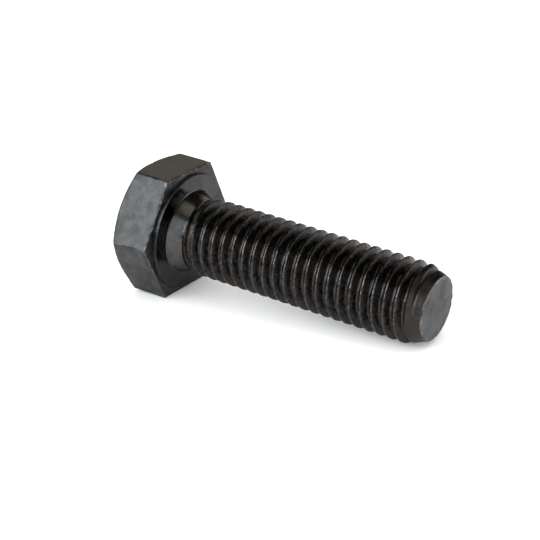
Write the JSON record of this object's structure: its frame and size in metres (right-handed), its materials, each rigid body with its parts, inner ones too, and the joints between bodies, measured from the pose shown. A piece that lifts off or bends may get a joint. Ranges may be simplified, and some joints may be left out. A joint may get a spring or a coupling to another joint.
{
  "type": "hex bolt",
  "caption": "Hexagon-head machine bolt, threaded up to the head, with a washer face under the head and a plain tapered point.",
  "frame": {"origin": "centre of the bearing face under the head, on the thread axis", "axes": "+X along the thread axis from the head to the tip, +Z out of one of the head's six flats"},
  "size_m": [0.0414, 0.0184, 0.016],
  "materials": {
    "black_oxide_steel": "black oxide over forged and rolled steel, lightly oiled, semi-gloss"
  },
  "bodies": {
    "root": {"hex_bolt": "black_oxide_steel"}
  },
  "joints": []
}
